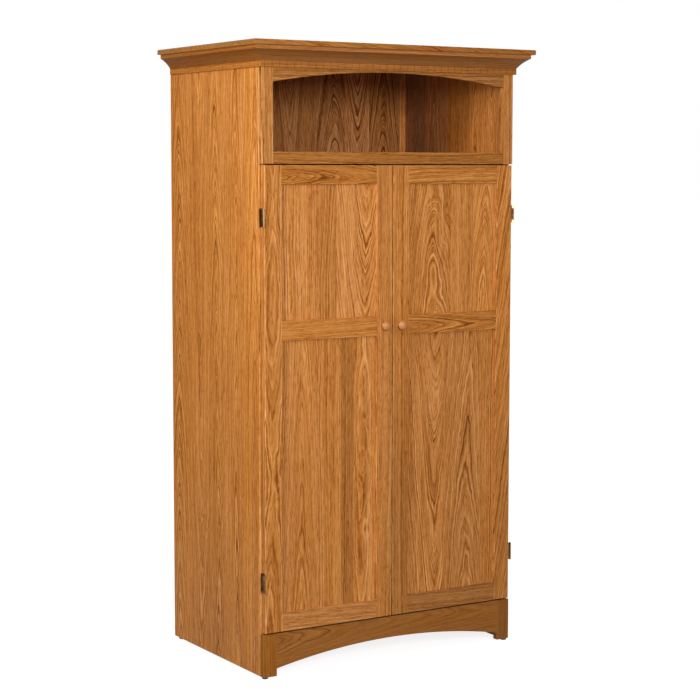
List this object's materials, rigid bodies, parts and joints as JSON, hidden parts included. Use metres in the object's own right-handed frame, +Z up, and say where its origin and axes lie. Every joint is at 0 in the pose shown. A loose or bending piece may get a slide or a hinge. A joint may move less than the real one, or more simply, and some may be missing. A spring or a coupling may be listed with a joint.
{
  "type": "computer armoire",
  "caption": "Tall oak cabinet with an open arched cubby under a cove crown, framed panel doors on barrel hinges, and a desk shelf, pull-out keyboard tray and storage bays behind them.",
  "frame": {"origin": "on the floor, at the middle of the overall box", "axes": "+Z up, front facing -Y, +X to the right when looking at the front"},
  "size_m": [0.974, 0.625, 1.829],
  "materials": {
    "oak_sides": "honey-stained red oak, satin lacquer, upright flame grain",
    "oak_frames": "honey-stained red oak, satin lacquer, straight grain along each piece",
    "oak_door_panels": "honey-stained red oak veneer, satin lacquer, upright cathedral grain",
    "oak_mouldings": "honey-stained red oak, satin lacquer, grain along the length",
    "oak_inside": "honey-stained oak veneered board, thin satin lacquer",
    "hinge_bronze": "dark antiqued, with worn bright edges",
    "screw_steel": "zinc-plated steel",
    "runner_steel": "black enamelled steel",
    "brown_plastic": "moulded brown plastic"
  },
  "bodies": {
    "case": {"back_panel": "oak_inside", "base_back_rail": "oak_inside", "base_foot_left": "oak_mouldings", "base_foot_right": "oak_mouldings", "base_rail": "oak_mouldings", "cable_grommets": "brown_plastic", "case_bottom": "oak_inside", "case_top": "oak_inside", "corner_blocks": "oak_inside", "crown_board": "oak_mouldings", "crown_cove_front": "oak_mouldings", "crown_cove_left": "oak_mouldings", "crown_cove_right": "oak_mouldings", "cubby_floor": "oak_inside", "dentil_strip_front": "oak_mouldings", "dentil_strip_left": "oak_mouldings", "dentil_strip_right": "oak_mouldings", "desk_shelf": "oak_inside", "frame_lower_rail": "oak_frames", "frame_stile_left": "oak_frames", "frame_stile_right": "oak_frames", "frame_top_rail": "oak_frames", "glides": "brown_plastic", "hinge_case_leaves_left": "hinge_bronze", "hinge_case_leaves_right": "hinge_bronze", "hinge_case_screws": "screw_steel", "hinge_pins": "hinge_bronze", "lower_divider": "oak_inside", "lower_shelf": "oak_inside", "magnetic_catches": "brown_plastic", "shelf_pins": "runner_steel", "side_panel_left": "oak_sides", "side_panel_right": "oak_sides", "tower_shelf": "oak_inside", "tray_channels": "runner_steel", "upper_shelf": "oak_inside"},
    "tray": {"keyboard_tray": "oak_inside", "tray_lip": "oak_inside", "tray_runners": "runner_steel"},
    "door_left": {"door_hinge_stile_left": "oak_frames", "door_meeting_stile_left": "oak_frames", "door_top_rail_left": "oak_frames", "door_mid_rail_left": "oak_frames", "door_bottom_rail_left": "oak_frames", "door_upper_panel_left": "oak_door_panels", "door_lower_panel_left": "oak_door_panels", "door_knob_left": "oak_frames", "door_screws_left": "screw_steel", "hinge_door_leaves_left": "hinge_bronze", "strike_plate_left": "runner_steel"},
    "door_right": {"door_hinge_stile_right": "oak_frames", "door_meeting_stile_right": "oak_frames", "door_top_rail_right": "oak_frames", "door_mid_rail_right": "oak_frames", "door_bottom_rail_right": "oak_frames", "door_upper_panel_right": "oak_door_panels", "door_lower_panel_right": "oak_door_panels", "door_knob_right": "oak_frames", "door_screws_right": "screw_steel", "hinge_door_leaves_right": "hinge_bronze", "strike_plate_right": "runner_steel"}
  },
  "joints": [
    {"name": "left_door_hinge", "type": "hinge", "parent": "case", "child": "door_left", "pos_m": [-0.4385, -0.2675, 0.8075], "axis": [0, 0, -1], "range_deg": [0, 265]},
    {"name": "right_door_hinge", "type": "hinge", "parent": "case", "child": "door_right", "pos_m": [0.4385, -0.2675, 0.8075], "axis": [0, 0, 1], "range_deg": [0, 265]},
    {"name": "tray_slide", "type": "slide", "parent": "case", "child": "tray", "axis": [0, -1, 0], "range_m": [0, 0.195]}
  ]
}
